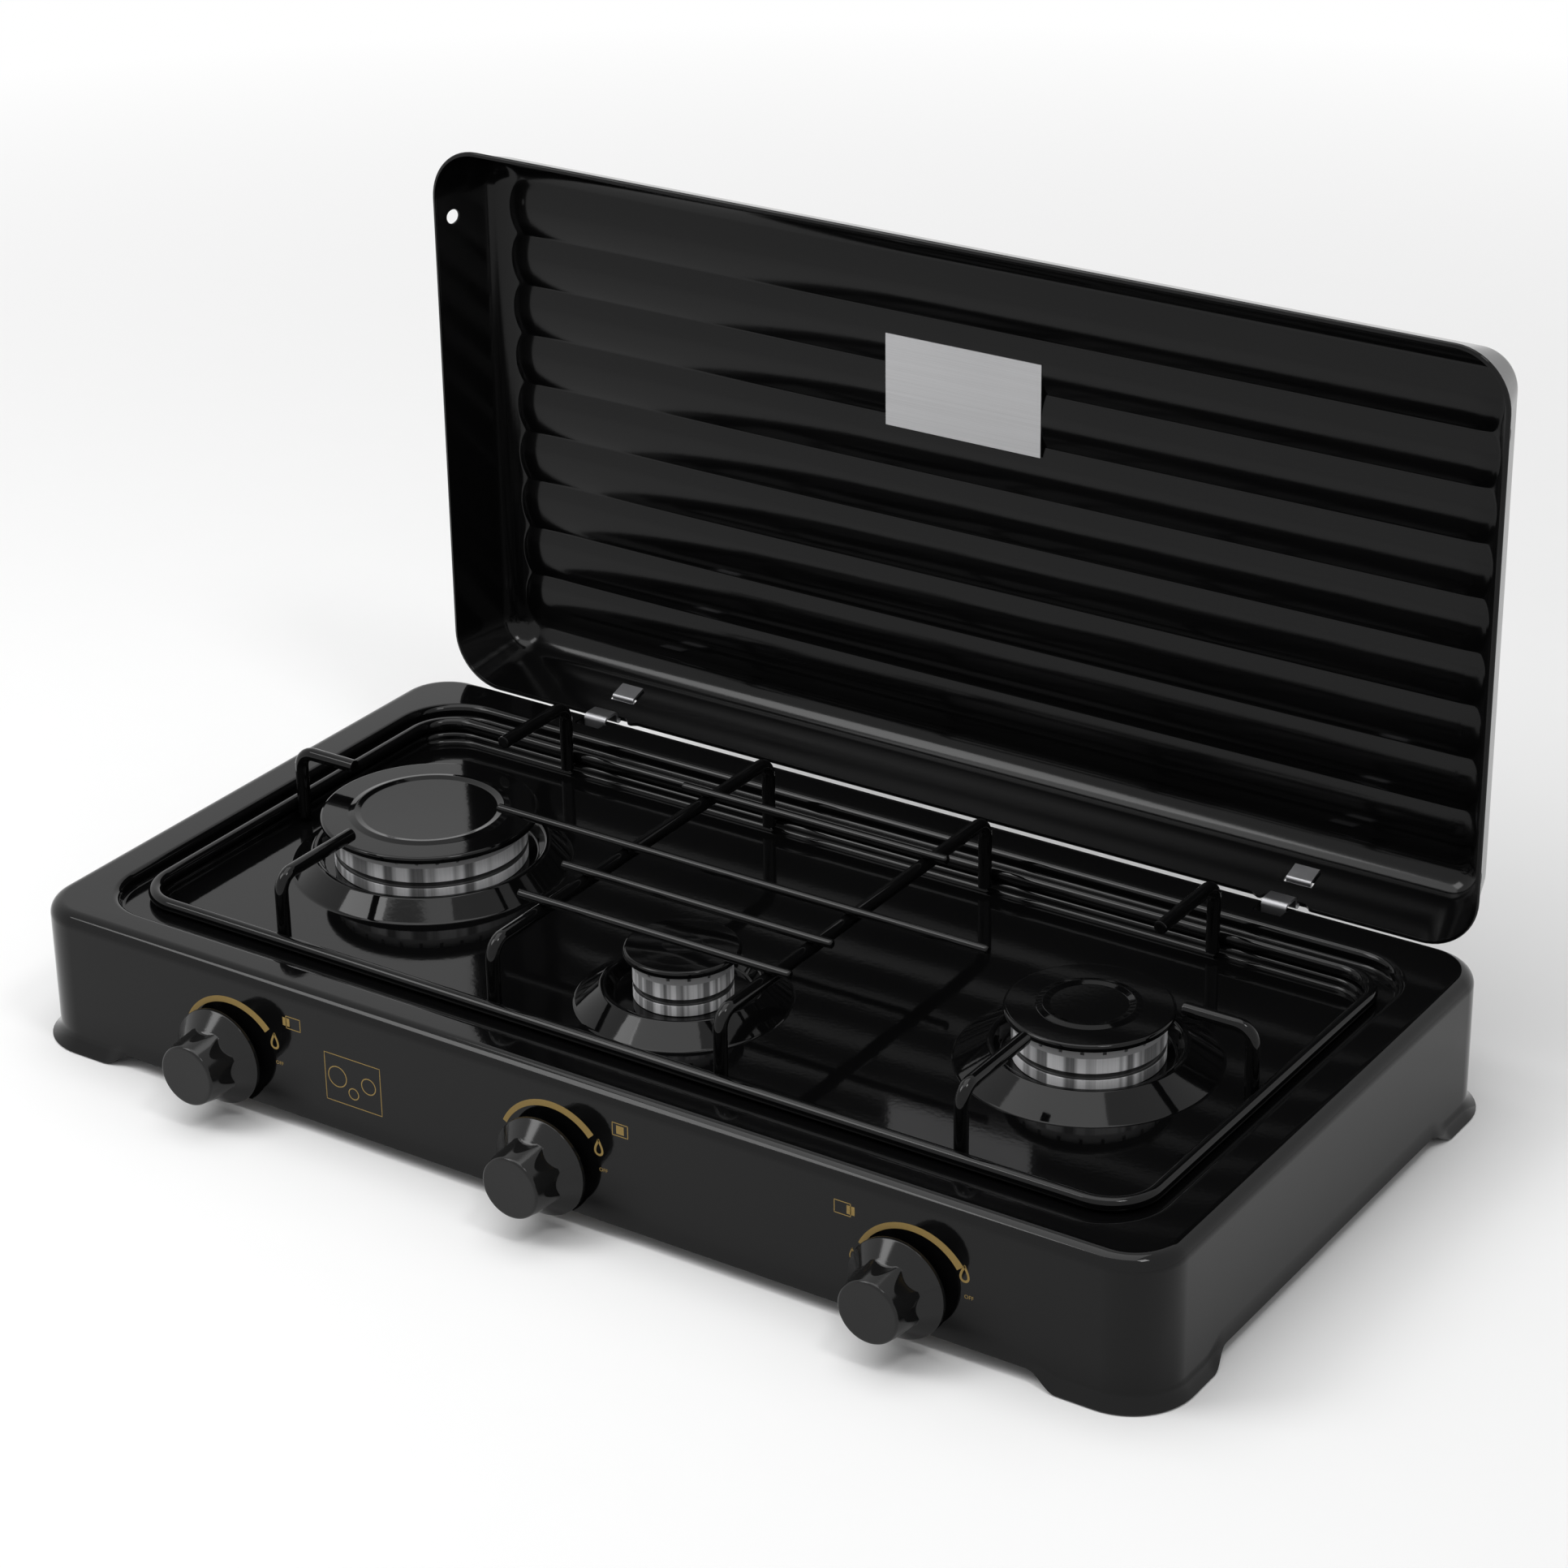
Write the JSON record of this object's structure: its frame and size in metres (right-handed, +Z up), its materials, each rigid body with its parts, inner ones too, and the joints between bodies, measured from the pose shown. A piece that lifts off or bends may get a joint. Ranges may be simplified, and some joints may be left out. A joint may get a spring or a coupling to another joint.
{
  "type": "three-burner camping stove",
  "caption": "Black enamelled gas camping stove with a ribbed hinged lid, a wire pan rack, capped burners in a pressed well and fluted knobs.",
  "frame": {"origin": "on the table, under the middle of the whole stove with its lid open", "axes": "+X to the right seen from the knobs, +Y to the back, +Z up"},
  "size_m": [0.619, 0.388, 0.3605],
  "materials": {
    "black_enamel": "gloss",
    "bright_aluminium": "satin",
    "brass": "satin",
    "black_plastic": "satin",
    "zinc_steel": "satin",
    "spring_steel": "satin",
    "plate_aluminium": "satin"
  },
  "bodies": {
    "root": {"casing": "black_enamel", "gas_rail": "zinc_steel", "inlet_pipe": "zinc_steel", "hose_tail": "brass", "valve_clamps": "zinc_steel", "clamp_screws": "zinc_steel", "cup_screws": "zinc_steel", "valve_body_left": "brass", "burner_cup_left": "bright_aluminium", "injector_left": "brass", "feed_pipe_left": "zinc_steel", "valve_body_middle": "brass", "burner_cup_middle": "bright_aluminium", "injector_middle": "brass", "feed_pipe_middle": "zinc_steel", "valve_body_right": "brass", "burner_cup_right": "bright_aluminium", "injector_right": "brass", "feed_pipe_right": "zinc_steel", "hinge_bracket_left": "zinc_steel", "hinge_pin_left": "zinc_steel", "hinge_bracket_right": "zinc_steel", "hinge_pin_right": "zinc_steel"},
    "lid": {"lid": "black_enamel", "lid_plate": "plate_aluminium", "hinge_strap_left": "zinc_steel", "hinge_strap_right": "zinc_steel"},
    "rack": {"rack_loop": "black_enamel", "rack_cross_wire_left": "black_enamel", "rack_cross_wire_right": "black_enamel", "rack_bar_front": "black_enamel", "rack_bar_second": "black_enamel", "rack_bar_long": "black_enamel", "rack_bar_rear": "black_enamel", "rack_finger_left_side": "black_enamel", "rack_finger_left_front": "black_enamel", "rack_finger_left_rear": "black_enamel", "rack_finger_right_side": "black_enamel", "rack_finger_right_front": "black_enamel", "rack_finger_right_rear": "black_enamel"},
    "knob_turn_left": {"valve_plug_left": "brass"},
    "knob_push_left": {"valve_stem_left": "zinc_steel", "knob_left": "black_plastic", "valve_spring_left": "spring_steel"},
    "head_left": {"burner_head_left": "bright_aluminium"},
    "cap_left": {"burner_cap_left": "black_enamel"},
    "knob_turn_middle": {"valve_plug_middle": "brass"},
    "knob_push_middle": {"valve_stem_middle": "zinc_steel", "knob_middle": "black_plastic", "valve_spring_middle": "spring_steel"},
    "head_middle": {"burner_head_middle": "bright_aluminium"},
    "cap_middle": {"burner_cap_middle": "black_enamel"},
    "knob_turn_right": {"valve_plug_right": "brass"},
    "knob_push_right": {"valve_stem_right": "zinc_steel", "knob_right": "black_plastic", "valve_spring_right": "spring_steel"},
    "head_right": {"burner_head_right": "bright_aluminium"},
    "cap_right": {"burner_cap_right": "black_enamel"}
  },
  "joints": [
    {"name": "lid_hinge", "type": "hinge", "parent": "root", "child": "lid", "pos_m": [0, 0.1463, 0.0642], "axis": [1, 0, 0], "range_deg": [0, 90]},
    {"name": "rack_lift", "type": "slide", "parent": "root", "child": "rack", "axis": [0, 0, 1], "range_m": [0, 0.0008]},
    {"name": "knob_left_turn", "type": "hinge", "parent": "root", "child": "knob_turn_left", "pos_m": [-0.185, -0.194, 0.028], "axis": [0, -1, 0], "range_deg": [0, 200]},
    {"name": "knob_left_push", "type": "slide", "parent": "knob_turn_left", "child": "knob_push_left", "axis": [0, 1, 0], "range_m": [0, 0.003], "stiffness_N_per_m": 600, "deforming": ["valve_spring_left"]},
    {"name": "head_left_lift", "type": "slide", "parent": "root", "child": "head_left", "axis": [0, 0, 1], "range_m": [0, 0.003]},
    {"name": "cap_left_lift", "type": "slide", "parent": "head_left", "child": "cap_left", "axis": [0, 0, 1], "range_m": [0, 0.003]},
    {"name": "knob_middle_turn", "type": "hinge", "parent": "root", "child": "knob_turn_middle", "pos_m": [0, -0.194, 0.028], "axis": [0, -1, 0], "range_deg": [0, 200]},
    {"name": "knob_middle_push", "type": "slide", "parent": "knob_turn_middle", "child": "knob_push_middle", "axis": [0, 1, 0], "range_m": [0, 0.003], "stiffness_N_per_m": 600, "deforming": ["valve_spring_middle"]},
    {"name": "head_middle_lift", "type": "slide", "parent": "root", "child": "head_middle", "axis": [0, 0, 1], "range_m": [0, 0.003]},
    {"name": "cap_middle_lift", "type": "slide", "parent": "head_middle", "child": "cap_middle", "axis": [0, 0, 1], "range_m": [0, 0.003]},
    {"name": "knob_right_turn", "type": "hinge", "parent": "root", "child": "knob_turn_right", "pos_m": [0.185, -0.194, 0.028], "axis": [0, -1, 0], "range_deg": [0, 200]},
    {"name": "knob_right_push", "type": "slide", "parent": "knob_turn_right", "child": "knob_push_right", "axis": [0, 1, 0], "range_m": [0, 0.003], "stiffness_N_per_m": 600, "deforming": ["valve_spring_right"]},
    {"name": "head_right_lift", "type": "slide", "parent": "root", "child": "head_right", "axis": [0, 0, 1], "range_m": [0, 0.003]},
    {"name": "cap_right_lift", "type": "slide", "parent": "head_right", "child": "cap_right", "axis": [0, 0, 1], "range_m": [0, 0.003]}
  ]
}
